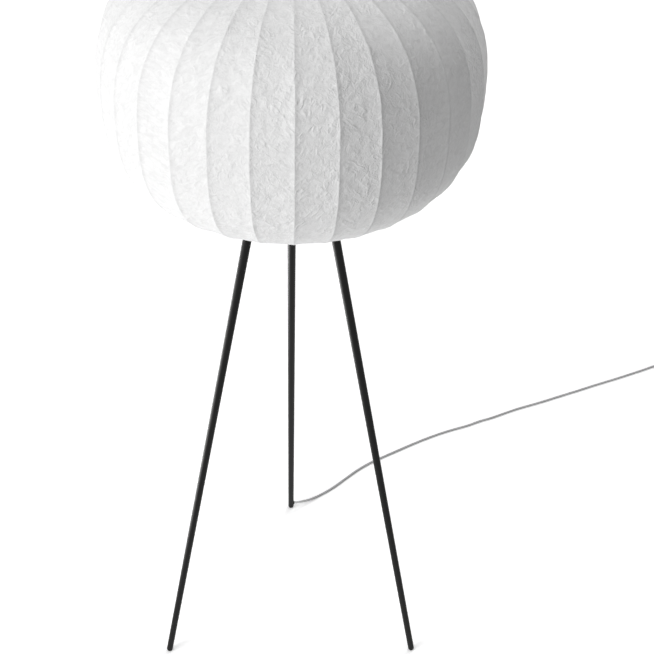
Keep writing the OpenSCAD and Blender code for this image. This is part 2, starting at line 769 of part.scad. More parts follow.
module lead_cores()
    color(core_brown) for (k = [0, 1])
        tube_along(core_route(k), core_d / 2, wire_sides, [0, 1, 1]);

// ---------------------------------------------------------------- cord and coil

floor_path = smooth_route(concat(
    [for (i = cord_ends) [bush_across + i * cord_d, outlet_y, outlet_z]],
    lifted(floor_route),
    [[switch_x, inlet_y + entry_run * cord_d, cord_entry_z - entry_drop]],
    [for (i = [2 : -1 : 0]) [switch_x, inlet_y + cord_ends[i] * cord_d, cord_entry_z]]));

module floor_cord()
    color(cord_grey) tube_along(floor_path, cord_d / 2, cord_sides);

module switch_lead()
    color(cord_grey) tube_along(smooth_route(concat(
        [for (i = cord_ends) [switch_x, outlet_tip_y - i * cord_d, cord_entry_z]],
        lifted(lead_route),
        [for (i = [2 : -1 : 0]) [switch_x, coil_y + (1 + cord_ends[i]) * cord_d, floor_z]])),
        cord_d / 2, cord_sides);

// The coil winds in on the floor, climbs in the half turn where it reverses, and winds
// out again on top of itself
coil_middle = turn * coil_turns;
function coil_height(t) = max(0, min(1, 0.5 + (t - coil_middle) / coil_climb));
function coil_point(t) =
    let (r = coil_inner_r + layer_step * abs(t - coil_middle) / turn)
    [coil_x + r * cos(t), coil_y - r * sin(t), floor_z + layer_step * coil_height(t)];
coil_path = concat(
    [[switch_x, coil_y + cord_d, floor_z]],
    [for (i = [0 : 2 * coil_turns * coil_rings]) coil_point(i * turn / coil_rings)],
    [[switch_x, coil_y - cord_d, plug_z], [switch_x, coil_y - coil_end_l, plug_z]]);

// Least clear gap between the coil and itself, among points half a turn or more apart
coil_gap = min([for (i = [0 : len(coil_path) - 1],
                     j = [i + coil_rings / 2 : 1 : len(coil_path) - 1])
    norm(coil_path[i] - coil_path[j])]) - cord_d;

module cord_coil() {
    echo(coil_least_gap = coil_gap);
    color(cord_grey) tube_along(coil_path, cord_d / 2, coil_sides);
}

// ---------------------------------------------------------------- foot switch

// A tapered relief moulded onto the cord, with a flange inside the switch's round wall
module switch_relief()
    rotate_extrude() polygon([
        [0, -relief_seat - relief_flange_l], [relief_flange_r, -relief_seat - relief_flange_l],
        [relief_flange_r, -relief_seat], [relief_base_r, -relief_seat],
        [relief_base_r, 0], [relief_tip_r, relief_l], [0, relief_l]]);

module switch_inlet_relief()
    color(plastic) translate([switch_x, switch_y + switch_r, cord_entry_z])
        rotate([-90, 0, 0]) switch_relief();

module switch_outlet_relief()
    color(plastic) translate([switch_x, switch_y - switch_r, cord_entry_z])
        rotate([90, 0, 0]) switch_relief();

// A round tray with a post that stops the button; the screws come up from below
module switch_base()
    color(plastic) translate([switch_x, switch_y, 0]) {
        difference() {
            cylinder(h = switch_base_h, r = switch_r);
            translate([0, 0, switch_floor])
                cylinder(h = switch_base_h, r = switch_r - switch_wall);
            translate([0, 0, cord_entry_z]) rotate([90, 0, 0])
                cylinder(h = switch_d + 2 * over, r = relief_base_r + slip, center = true);
            translate([0, 0, -over]) ring_of(switch_post_azimuths, switch_post_circle_r) {
                cylinder(h = switch_floor + 2 * over, d = switch_screw_d + 2 * slip);
                cylinder(h = switch_head_h + over, d = switch_head_d + 2 * slip);
            }
        }
        cylinder(h = stop_z, r = stop_r);
    }

// The cover: a shallow dish with a rounded rim, a hole for the button and three posts
module switch_cover()
    color(plastic) translate([switch_x, switch_y, 0]) difference() {
        union() {
            difference() {
                switch_cover_form(0);
                switch_cover_form(switch_wall);
            }
            translate([0, 0, switch_floor]) ring_of(switch_post_azimuths, switch_post_circle_r)
                cylinder(h = switch_post_top_z - switch_floor, r = switch_post_r);
        }
        translate([0, 0, switch_base_h]) cylinder(h = 2 * switch_cover_h, r = button_r + room);
        translate([0, 0, switch_floor - over]) ring_of(switch_post_azimuths, switch_post_circle_r)
            cylinder(h = switch_screw_l, d = switch_screw_d + 2 * thread_slip);
    }

// The dish's form, drawn in all round by an inset; the inner form also opens its underside
module switch_cover_form(inset) {
    r = switch_r - inset;
    edge = switch_edge_r - inset;
    edge_z = switch_top_z - switch_edge_r;
    below = inset > 0 ? over : 0;
    translate([0, 0, switch_base_h - below]) cylinder(h = edge_z - switch_base_h + below, r = r);
    translate([0, 0, edge_z]) cylinder(h = edge, r = r - edge);
    translate([0, 0, edge_z]) rotate_extrude() translate([r - edge, 0]) intersection() {
        circle(r = edge);
        square(edge);
    }
}

module switch_screws()
    color(steel) translate([switch_x, switch_y, screw_sink])
        ring_of(switch_post_azimuths, switch_post_circle_r) {
            cylinder(h = switch_head_h - screw_sink, d = switch_head_d);
            cylinder(h = switch_screw_l, d = switch_screw_d);
        }

module switch_button()
    color(plastic) translate([switch_x, switch_y, 0]) difference() {
        union() {
            translate([0, 0, button_flange_z])
                cylinder(h = button_top_z - button_flange_z, r = button_r);
            translate([0, 0, button_flange_z]) cylinder(h = button_flange_h, r = button_flange_r);
        }
        translate([0, 0, button_flange_z - over])
            cylinder(h = button_ceiling_z - button_flange_z + over, r = button_r - button_skirt);
    }

module switch_spring()
    color(steel) translate([switch_x, switch_y, 0]) {
        z0 = switch_floor + spring_wire_d / 2 + slip;
        z1 = button_ceiling_z - spring_wire_d / 2 - slip;
        steps = spring_rings * spring_turns;
        tube_along([for (i = [0 : steps])
            let (a = turn * i / spring_rings)
            [spring_r * cos(a), spring_r * sin(a), z0 + (z1 - z0) * i / steps]],
            spring_wire_d / 2, wire_sides);
    }

// Two contact blocks, each beside one relief
module switch_terminals()
    color(ceramic) translate([switch_x, switch_y, 0]) for (side = [-1, 1])
        translate([0, side * (switch_r - terminal_inset), switch_floor + terminal_size[2] / 2])
            cube(terminal_size, center = true);

// ---------------------------------------------------------------- plug

module plug_relief()
    color(plastic) translate([switch_x, plug_back_y, plug_z]) rotate([-90, 0, 0])
        rotate_extrude() polygon([
            [0, 0], [relief_base_r, 0], [relief_tip_r, relief_l], [0, relief_l]]);

// A flat body that narrows towards the cord, with bevelled edges and two pin seats
module plug_body()
    color(plastic) difference() {
        hull() for (inset = [0, plug_bevel])
            translate([switch_x, 0, inset]) linear_extrude(plug_h - 2 * inset) polygon([
                [-plug_w / 2 + plug_bevel - inset, plug_face_y],
                [plug_w / 2 - plug_bevel + inset, plug_face_y],
                [plug_w / 2 - plug_bevel + inset, plug_face_y + plug_wide_l],
                [plug_back_w / 2 - plug_bevel + inset, plug_back_y],
                [-plug_back_w / 2 + plug_bevel - inset, plug_back_y],
                [-plug_w / 2 + plug_bevel - inset, plug_face_y + plug_wide_l]]);
        on_pins() translate([0, 0, -pin_seat])
            cylinder(h = pin_seat + over, r = pin_sleeve_r + thread_slip);
    }

// Places its children at both pins' roots, with z out of the plug
module on_pins()
    for (side = [-1, 1])
        translate([switch_x + side * pin_spacing / 2, plug_face_y, plug_z])
            rotate([90, 0, 0]) children();

// Two round pins: a thin shank inside the sleeve, then the bare tip with a domed end
module plug_pins()
    color(steel) on_pins() {
        translate([0, 0, -pin_seat + slip])
            cylinder(h = pin_seat - slip + pin_sleeve_l, r = pin_shank_r);
        translate([0, 0, pin_sleeve_l])
            cylinder(h = pin_l - pin_d / 2 - pin_sleeve_l, d = pin_d);
        translate([0, 0, pin_l - pin_d / 2]) sphere(d = pin_d);
    }

module pin_sleeves()
    color(plastic) on_pins() translate([0, 0, -pin_seat + slip])
        tube(pin_sleeve_r, pin_sleeve_r - pin_sleeve_wall, pin_seat - slip + pin_sleeve_l);

// ---------------------------------------------------------------- nodes

foot(leg_azimuths[0]);  // foot_front_left
foot(leg_azimuths[1]);  // foot_front_right
foot(rear);  // foot_rear
leg(leg_azimuths[0]);  // leg_front_left
leg(leg_azimuths[1]);  // leg_front_right
leg_with_outlet();  // leg_rear
leg_grub_screws();
hub_body();
hub_cover();
hub_cover_screws();
nipple();
nipple_nuts();
lampholder_cap();
lampholder_sleeve();
terminal_block();
lamp_screw_shell();
centre_contact();
clamp_ring(support_z);  // shade_support_ring
clamp_ring(spider_z + spider_ring_t);  // shade_clamp_ring
spider_ring();
spider_arm(post_azimuths[0]);  // spider_arm_front
spider_arm(post_azimuths[1]);  // spider_arm_right
spider_arm(post_azimuths[2]);  // spider_arm_left
mouth_ring(bottom_ring_z);  // bottom_ring
mouth_ring(top_ring_z);  // top_ring
rib_wires();
paper_gores();
bulb_glass();
bulb_cap();
bulb_insulator();
bulb_contact();
outlet_bush();
cord_end();
lead_cores();
floor_cord();
switch_inlet_relief();
switch_outlet_relief();
switch_base();
switch_cover();
switch_screws();
switch_button();
switch_spring();
switch_terminals();
switch_lead();
cord_coil();
plug_relief();
plug_body();
plug_pins();
pin_sleeves();
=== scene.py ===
"""A floor lamp: a crinkled paper lantern on three slim black legs, with a grey textile cord."""

import json
import math

import bpy
import numpy as np
from mathutils import Matrix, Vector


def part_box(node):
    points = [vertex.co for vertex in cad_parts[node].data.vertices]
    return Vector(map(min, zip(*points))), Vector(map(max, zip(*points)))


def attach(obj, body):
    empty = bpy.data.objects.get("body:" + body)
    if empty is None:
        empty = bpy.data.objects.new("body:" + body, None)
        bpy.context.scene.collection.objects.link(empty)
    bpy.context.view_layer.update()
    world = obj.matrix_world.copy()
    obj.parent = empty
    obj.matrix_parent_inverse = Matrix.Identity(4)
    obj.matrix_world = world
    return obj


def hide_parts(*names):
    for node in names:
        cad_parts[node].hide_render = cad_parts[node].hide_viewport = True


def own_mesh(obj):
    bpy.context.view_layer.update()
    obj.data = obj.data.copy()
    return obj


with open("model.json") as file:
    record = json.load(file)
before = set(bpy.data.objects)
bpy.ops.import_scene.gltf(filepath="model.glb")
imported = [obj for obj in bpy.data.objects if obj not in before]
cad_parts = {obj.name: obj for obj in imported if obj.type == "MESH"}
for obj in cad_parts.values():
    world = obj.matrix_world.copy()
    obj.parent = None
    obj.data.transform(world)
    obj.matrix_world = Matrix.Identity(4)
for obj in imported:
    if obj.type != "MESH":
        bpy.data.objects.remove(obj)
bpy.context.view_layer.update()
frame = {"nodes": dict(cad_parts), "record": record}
CAD = frame["nodes"]


# ---------------------------------------------------------------- camera

CAMERA_PLACE = (0, -2.0431, 2.1354)
CAMERA_PITCH = 0.6215
CAMERA_YAW = 0.0303
CAMERA_ROLL = -0.020
LENS, SENSOR_W = 79.45, 36


def aim_camera():
    """Looks down by the pitch and to the right by the yaw; right and up are then turned by the roll."""
    forward = np.array([math.sin(CAMERA_YAW) * math.cos(CAMERA_PITCH),
                        math.cos(CAMERA_YAW) * math.cos(CAMERA_PITCH),
                        -math.sin(CAMERA_PITCH)])
    level = np.array([math.cos(CAMERA_YAW), -math.sin(CAMERA_YAW), 0])
    above = np.cross(level, forward)
    right = level * math.cos(CAMERA_ROLL) - above * math.sin(CAMERA_ROLL)
    up = level * math.sin(CAMERA_ROLL) + above * math.cos(CAMERA_ROLL)
    camera = bpy.data.objects.new("camera", bpy.data.cameras.new("camera"))
    camera.data.lens = LENS
    camera.data.sensor_width = SENSOR_W
    camera.matrix_world = Matrix([[right[i], up[i], -forward[i], CAMERA_PLACE[i]] for i in range(3)]
                                 + [[0, 0, 0, 1]])
    bpy.context.scene.collection.objects.link(camera)
    bpy.context.scene.camera = camera


aim_camera()


# ---------------------------------------------------------------- surfaces

def surface(name, sheets, closed=False, capped=False, maps=None, fields=None):
    """A mesh of one or more grids of points, [sheets, rows, columns, 3]: every four neighbours make a face,
    closed joins the last column to the first, and capped closes a tube's two ends. maps is a UV of the
    same layout, per point, and fields are named vectors per point, kept as attributes."""
    sheets = np.asarray(sheets, float)
    count, rows, columns = sheets.shape[:3]
    index = np.arange(count * rows * columns).reshape(count, rows, columns)
    right = np.roll(index, -1, axis=2)
    low_left, low_right = index[:, :-1, :], right[:, :-1, :]
    up_left, up_right = index[:, 1:, :], right[:, 1:, :]
    quads = np.stack([low_left, low_right, up_right, up_left], axis=-1)
    if not closed:
        quads = quads[:, :, :-1]
    faces = quads.reshape(-1, 4).tolist()
    if capped:
        faces += [index[0, 0, ::-1].tolist(), index[0, -1].tolist()]
    mesh = bpy.data.meshes.new(name)
    mesh.from_pydata(sheets.reshape(-1, 3).tolist(), [], faces)
    mesh.polygons.foreach_set("use_smooth", np.ones(len(faces), bool))
    for field, values in (fields or {}).items():
        layer = mesh.attributes.new(field, "FLOAT_VECTOR", "POINT")
        layer.data.foreach_set("vector", np.asarray(values, np.float32).ravel())
    if maps is not None:
        corner = np.zeros(len(mesh.loops), np.int32)
        mesh.loops.foreach_get("vertex_index", corner)
        layer = mesh.uv_layers.new(name="braid")
        layer.data.foreach_set("uv", np.asarray(maps, np.float32).reshape(-1, 2)[corner].ravel())
    mesh.update()
    piece = bpy.data.objects.new(name, mesh)
    bpy.context.scene.collection.objects.link(piece)
    return piece


def smooth_route(points, steps):
    """A curve through every point: on each stretch the cubic whose slopes are half the way between the
    neighbours, with straight ends."""
    p = np.asarray(points, float)
    p = np.vstack([2 * p[0] - p[1], p, 2 * p[-1] - p[-2]])
    t = np.arange(steps)[None, :, None] / steps
    a, b, c, d = (p[i:len(p) - 3 + i, None] for i in range(4))
    curve = 0.5 * (2 * b + (c - a) * t + (2 * a - 5 * b + 4 * c - d) * t ** 2
                   + (3 * b - a - 3 * c + d) * t ** 3)
    return np.vstack([curve.reshape(-1, 3), p[-2]])


def even_steps(path, step):
    """The same path with its points at one even distance."""
    run = np.concatenate([[0], np.cumsum(np.linalg.norm(np.diff(path, axis=0), axis=1))])
    places = np.linspace(0, run[-1], int(round(run[-1] / step)) + 1)
    return np.stack([np.interp(places, run, path[:, k]) for k in range(3)], axis=1), run[-1]


def tube(name, path, radius, sides):
    """A round tube: a circle carried along the path, square to it, with its top kept uppermost. Its UV
    counts turns round it and diameters along it."""
    along = np.gradient(path, axis=0)
    along /= np.linalg.norm(along, axis=1, keepdims=True)
    side = np.cross(along, [0, 0, 1])
    side /= np.linalg.norm(side, axis=1, keepdims=True)
    top = np.cross(side, along)
    turn = np.linspace(0, 2 * np.pi, sides, endpoint=False)
    rings = path[:, None] + radius * (np.cos(turn)[None, :, None] * top[:, None]
                                      - np.sin(turn)[None, :, None] * side[:, None])
    run = np.concatenate([[0], np.cumsum(np.linalg.norm(np.diff(path, axis=0), axis=1))])
    maps = np.stack(np.broadcast_arrays(turn[None, :] / (2 * np.pi), run[:, None] / (2 * radius)), axis=-1)
    return surface(name, rings[None], closed=True, capped=True, maps=maps)


# ---------------------------------------------------------------- button spring

SPRING_TURNS = 5
SPRING_WIRE_R = 0.0006
END_TURN_RISE = 0.4


def button_spring():
    """A coil spring in the place of the solid one: a point goes round at a steady rate and rises by a share
    less a sine, so that the end turns lie flatter."""
    low, high = (np.array(corner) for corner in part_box("switch_spring"))
    radius = (high[0] - low[0]) / 2 - SPRING_WIRE_R
    height = high[2] - low[2]
    t = np.linspace(0, 2 * np.pi, 48 * SPRING_TURNS + 1)
    share = (t - (1 - END_TURN_RISE) * np.sin(t)) / (2 * np.pi)
    path = np.stack([(low[0] + high[0]) / 2 + radius * np.cos(SPRING_TURNS * t),
                     (low[1] + high[1]) / 2 + radius * np.sin(SPRING_TURNS * t),
                     low[2] + SPRING_WIRE_R + (height - 2 * SPRING_WIRE_R) * share], axis=1)
    piece = tube("button_spring", path, SPRING_WIRE_R, 12)
    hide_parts("switch_spring")
    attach(piece, "lamp")
    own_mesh(piece)
    return piece


spring_piece = button_spring()


# ---------------------------------------------------------------- cord

CORD_R = 0.0025
OUTLET = (0.00695, 0.26688, 0.01467)
SWITCH_X = 0.962
ENTRY_Z = 0.008
INLET_Y = 0.700
LEAD_Y = 0.588
COIL_Y = 0.543
COIL_INNER_R = 0.020
COIL_STEP = 0.0055
COIL_TURNS = 3
CORD_ENDS = (0, 0.003, 0.006)
POINT_STEP = 0.003

# Places on the floor, in millimetres, and the height of the cord's underside
FLOOR_ROUTE = [
    (25, 275.5, 7.5), (38, 284.5, 3.5), (51, 295, 0.8), (64, 304.5, 0), (91, 327, 0),
    (118, 355, 0), (146, 384, 0), (174, 408, 0), (206, 430, 0), (237, 450, 0), (265, 468, 0),
    (294, 486, 0), (322, 502, 0), (351, 517, 0), (380, 530, 0), (409, 542, 0), (439, 558, 0),
    (469, 571, 0), (529, 602, 0), (589, 628, 0), (653, 658, 0), (688, 674, 0), (723, 691, 0),
    (758, 707, 0), (793, 723, 0), (828, 740, 0), (863, 757, 0), (896, 774, 0), (918, 780, 0),
    (938, 774, 0), (954, 759, 0), (962, 738, 1)]
LEAD_ROUTE = [(962, 574, 4), (962, 566, 1.8), (962, 559.5, 0.4)]


def on_floor(route):
    """Route rows in millimetres as points of a cord's centre line in metres."""
    return [(x / 1000, y / 1000, z / 1000 + CORD_R) for x, y, z in route]


def coil_path():
    """Three turns in and three out on top of them: the radius shrinks to the middle turn and grows again,
    and the height climbs by one layer in the half turn round the middle."""
    middle = 2 * np.pi * COIL_TURNS
    t = np.linspace(0, 2 * middle, 2 * COIL_TURNS * 72 + 1)
    r = COIL_INNER_R + COIL_STEP * np.abs(t - middle) / (2 * np.pi)
    climb = np.clip(0.5 + (t - middle) / np.pi, 0, 1)
    centre = SWITCH_X - COIL_INNER_R - COIL_STEP * COIL_TURNS
    return np.stack([centre + r * np.cos(t), COIL_Y - r * np.sin(t), CORD_R + COIL_STEP * climb], axis=1)


def cords():
    """The stretch that crosses the floor to the foot switch, and the rest, coiled before the plug."""
    out = [(OUTLET[0] + run, OUTLET[1], OUTLET[2]) for run in CORD_ENDS]
    rise = [(SWITCH_X, INLET_Y + 0.015, ENTRY_Z - 0.0006)]
    entry = [(SWITCH_X, INLET_Y + run, ENTRY_Z) for run in reversed(CORD_ENDS)]
    path, length = even_steps(smooth_route(out + on_floor(FLOOR_ROUTE) + rise + entry, 12), POINT_STEP)
    first = tube("cord_to_switch", path, CORD_R, 16)
    leave = [(SWITCH_X, LEAD_Y - run, ENTRY_Z) for run in CORD_ENDS]
    lie = [(SWITCH_X, COIL_Y + 0.005 + run, CORD_R) for run in reversed(CORD_ENDS)]
    lead = smooth_route(leave + on_floor(LEAD_ROUTE) + lie, 12)
    end = [(SWITCH_X, COIL_Y - 0.005, ENTRY_Z), (SWITCH_X, COIL_Y - 0.010, ENTRY_Z)]
    path, length = even_steps(np.vstack([lead, coil_path(), end]), POINT_STEP)
    second = tube("cord_coiled", path, CORD_R, 16)
    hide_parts("floor_cord")
    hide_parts("switch_lead", "cord_coil")
    for piece in (first, second):
        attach(piece, "lamp")
    return first, second


cord_pieces = cords()


# ---------------------------------------------------------------- paper shade

RIBS = 30
RIB_STEP = 2 * math.pi / RIBS
RIB_TURN = 0.8
FIRST_RIB = math.radians(-90 + RIB_TURN)
SHADE_R, SHADE_HALF_H, SHADE_Z = 0.300, 0.205, 1.150
SHOULDER, SIDE = 3.1, 2.6
MOUTH_R = 0.110
RING_R, RING_Z = 0.10705, 0.198898
HEM_R = 0.0026
TAUT_RUN = 0.030
SAG = 0.0006
SEAM_TUCK, SEAM_RUN = 0.0005, 0.0045
PLAIN_TUCK, PLAIN_RUN = 0.00025, 0.002
ROUND = 0.0010
STRAY = 0.0002
FOLD_H, RIPPLE_H = 0.00025, 0.00008
PAPER_T = 0.00035
ROWS, ACROSS = 240, 21
PANELS = 5


def shade_outline():
    """From the lower ring to the upper one, at even steps of its length: the curve r^3.1 + z^2.6 = 1
    between the mouths, and at each end an arc round the ring's wire. Gives radius, height, outward
    normal, the way along, and how free the paper hangs: 0 on the ring, 1 away from it."""
    mouth = math.acos((MOUTH_R / SHADE_R) ** (SHOULDER / 2))
    a = np.linspace(-mouth, mouth, 2401)
    curve = np.stack([SHADE_R * np.cos(a) ** (2 / SHOULDER),
                      SHADE_HALF_H * np.sign(a) * np.abs(np.sin(a)) ** (2 / SIDE)], axis=1)
    t = np.radians(np.linspace(84, 262, 60))
    upper = np.stack([RING_R + HEM_R * np.cos(t), RING_Z + HEM_R * np.sin(t)], axis=1)
    lower = (upper * [1, -1])[::-1]
    line = np.vstack([lower, curve, upper])
    run = np.concatenate([[0], np.cumsum(np.linalg.norm(np.diff(line, axis=0), axis=1))])
    way = np.linspace(0, run[-1], ROWS)
    r, z = np.interp(way, run, line[:, 0]), np.interp(way, run, line[:, 1])
    dr, dz = np.gradient(r, way), np.gradient(z, way)
    size = np.hypot(dr, dz)
    hem = run[len(lower)]
    free = np.clip((np.minimum(way, run[-1] - way) - hem) / TAUT_RUN, 0, 1)
    return r, z, dz / size, -dr / size, way, free * free * (3 - 2 * free)


def waves(x, y, seed, shortest, longest):
    """A sum of plane waves of random direction, length and phase, about one high."""
    rng = np.random.default_rng(seed)
    total = np.zeros(np.broadcast(x, y).shape)
    for _ in range(20):
        heading, length, phase = rng.uniform(0, np.pi), rng.uniform(shortest, longest), rng.uniform(0, 7)
        total += np.sin(2 * np.pi * (x * math.cos(heading) + y * math.sin(heading)) / length + phase)
    return total / math.sqrt(10)


def ridge_stray(k, way):
    """How far the ridge over rib k strays: to the side and outwards."""
    return (STRAY * waves(0, way, 500 + k % RIBS, 0.02, 0.10),
            STRAY * np.abs(waves(0, way, 600 + k % RIBS, 0.02, 0.09)))


def panel_points(k, profile):
    """Panel k of the shade: between its two ribs the paper follows the chord and sags by a parabola that is
    deepest in the middle. It tucks in beside each rib's wire, more where it is seamed, on its left, and bends
    softly over the wire: the tuck fades out with the distance from the rib. Its ridges stray a little, and it
    is crumpled: a random field has a fold along each of its zero lines. Near the rings it is round and taut.
    Gives the points, the place on the flat sheet, and the distances from both ribs with how free it hangs."""
    r, z, nr, nz, way, free = (v[:, None] for v in profile)
    u = 0.5 - 0.5 * np.cos(np.linspace(0, np.pi, ACROSS))[None, :]
    angle = RIB_STEP * u
    chord = math.cos(RIB_STEP / 2) / np.cos(angle - RIB_STEP / 2)
    x, y = RIB_STEP * r * (u - 0.5), way + 0 * u
    from_left, from_right = RIB_STEP * r * u, RIB_STEP * r * (1 - u)
    (left_side, left_out), (right_side, right_out) = ridge_stray(k, way), ridge_stray(k + 1, way)
    rng = np.random.default_rng(700 + k)
    patch = 0.5 + 0.5 * np.tanh(waves(x, y, 100 + k, 0.12, 0.30))
    folds = 0.8 - np.abs(waves(x, y, 200 + k, 0.022, 0.060))
    ripple = waves(x, y, 300 + k, 0.012, 0.030)
    crumple = rng.uniform(0.7, 1.2) * (FOLD_H * folds + RIPPLE_H * ripple) * (0.4 + patch)
    near_left = np.exp(-(np.hypot(from_left, ROUND) - ROUND) / SEAM_RUN)
    near_right = np.exp(-(np.hypot(from_right, ROUND) - ROUND) / PLAIN_RUN)
    tuck = SEAM_TUCK * (1 - near_left) * (1 - u) + PLAIN_TUCK * (1 - near_right) * u
    lift = near_left * left_out + near_right * right_out
    depth = free * ((r / SHADE_R) ** 2 * (4 * u * (1 - u) * SAG + tuck) - lift - crumple * np.sin(np.pi * u))
    radius = r * (1 - free + free * chord) - depth * nr
    heading = FIRST_RIB + k * RIB_STEP + angle + free * ((1 - u) * left_side + u * right_side) / r
    points = np.stack([radius * np.cos(heading), radius * np.sin(heading), SHADE_Z + z - depth * nz], axis=-1)
    lean, shrink = rng.uniform(-1.2, 1.2), rng.uniform(0.5, 1.0)
    place = np.stack(np.broadcast_arrays(shrink * (x * math.cos(lean) + y * math.sin(lean)),
                                         y * math.cos(lean) - x * math.sin(lean), 0.37 * k), axis=-1)
    edges = np.stack(np.broadcast_arrays(from_left, from_right, free), axis=-1)
    return points, place, edges


def crisp_rims(mesh):
    """Marks the mesh's open edges as sharp, so that the thin wall's rims don't tint the shading."""
    edges = np.zeros(len(mesh.loops), np.int32)
    mesh.loops.foreach_get("edge_index", edges)
    sharp = mesh.attributes.new("sharp_edge", "BOOLEAN", "EDGE")
    sharp.data.foreach_set("value", np.bincount(edges, minlength=len(mesh.edges)) == 1)


def paper_shade():
    """Six pieces of five panels each, with a thin inner wall."""
    profile = shade_outline()
    pieces = []
    for first in range(0, RIBS, PANELS):
        panels = [panel_points(k, profile) for k in range(first, first + PANELS)]
        points, places, edges = zip(*panels)
        piece = surface(f"paper_panels_{first // PANELS + 1}", points,
                        fields={"sheet_place": places, "rib_distance": edges})
        crisp_rims(piece.data)
        wall = piece.modifiers.new("wall", "SOLIDIFY")
        wall.thickness = PAPER_T
        wall.offset = -1
        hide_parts("paper_gores")
        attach(piece, "lamp")
        pieces.append(piece)
    return pieces


paper_pieces = paper_shade()


# ---------------------------------------------------------------- finishes

def new_finish(name, base, rough, metal=0.0):
    """A material and its one shader, with what is the same all over set on the shader itself."""
    material = bpy.data.materials.new(name)
    material.use_nodes = True
    tree = material.node_tree
    shader = tree.nodes["Principled BSDF"]
    shader.inputs["Base Color"].default_value = (*base, 1)
    shader.inputs["Roughness"].default_value = rough
    shader.inputs["Metallic"].default_value = metal
    return material, tree, shader


def add(tree, kind, values=(), links=(), **settings):
    """One node, with its settings, its values by input name or number, and what feeds its inputs."""
    node = tree.nodes.new("ShaderNode" + kind)
    for key, value in settings.items():
        setattr(node, key, value)
    for key, value in dict(values).items():
        node.inputs[key].default_value = value
    for key, source in dict(links).items():
        tree.links.new(source, node.inputs[key])
    return node


def ramp(tree, source, stops):
    """A colour ramp with stops of (place, grey or colour)."""
    node = add(tree, "ValToRGB", links={0: source})
    elements = node.color_ramp.elements
    while len(elements) < len(stops):
        elements.new(0.5)
    for element, (place, tone) in zip(elements, stops):
        element.position = place
        element.color = (tone, tone, tone, 1) if isinstance(tone, (int, float)) else (*tone, 1)
    return node.outputs["Color"]


def maths(tree, operation, a, b):
    """Arithmetic on two sources or numbers."""
    node = tree.nodes.new("ShaderNodeMath")
    node.operation = operation
    for k, value in enumerate((a, b)):
        if isinstance(value, (int, float)):
            node.inputs[k].default_value = value
        else:
            tree.links.new(value, node.inputs[k])
    return node.outputs[0]


def relief(tree, shader, height, depth):
    """Gives the shader a bumpy surface from a height of 0 to 1, that many metres deep."""
    bump = add(tree, "Bump", {"Strength": 1.0, "Distance": depth}, {"Height": height})
    tree.links.new(bump.outputs["Normal"], shader.inputs["Normal"])


def plain_finish(name, base, rough, metal=0.0, mottle=(40, 0.06), spread=0.06, grain=(1500, 0.00002),
                 stretch=(1, 1, 1)):
    """A finish on the object's own coordinates: the colour wanders by mottle's share, the gloss by
    spread, and a fine grain of grain's scale and depth lies on it, drawn out by stretch."""
    material, tree, shader = new_finish(name, base, rough, metal)
    place = add(tree, "TexCoord").outputs["Object"]
    drawn = add(tree, "Mapping", {"Scale": stretch}, {"Vector": place}).outputs[0]
    cloud = add(tree, "TexNoise", {"Scale": mottle[0], "Detail": 4, "Roughness": 0.6}, {"Vector": place})
    low = tuple(c * (1 - mottle[1]) for c in base)
    high = tuple(min(1, c * (1 + mottle[1])) for c in base)
    tree.links.new(ramp(tree, cloud.outputs[0], [(0.3, low), (0.7, high)]), shader.inputs["Base Color"])
    fine = add(tree, "TexNoise", {"Scale": grain[0], "Detail": 3, "Roughness": 0.55}, {"Vector": drawn})
    mean = maths(tree, "MULTIPLY", maths(tree, "ADD", cloud.outputs[0], fine.outputs[0]), 0.5)
    gloss = add(tree, "MapRange", {"To Min": rough - spread, "To Max": rough + spread}, {"Value": mean})
    tree.links.new(gloss.outputs[0], shader.inputs["Roughness"])
    relief(tree, shader, fine.outputs[0], grain[1])
    return material, tree, shader


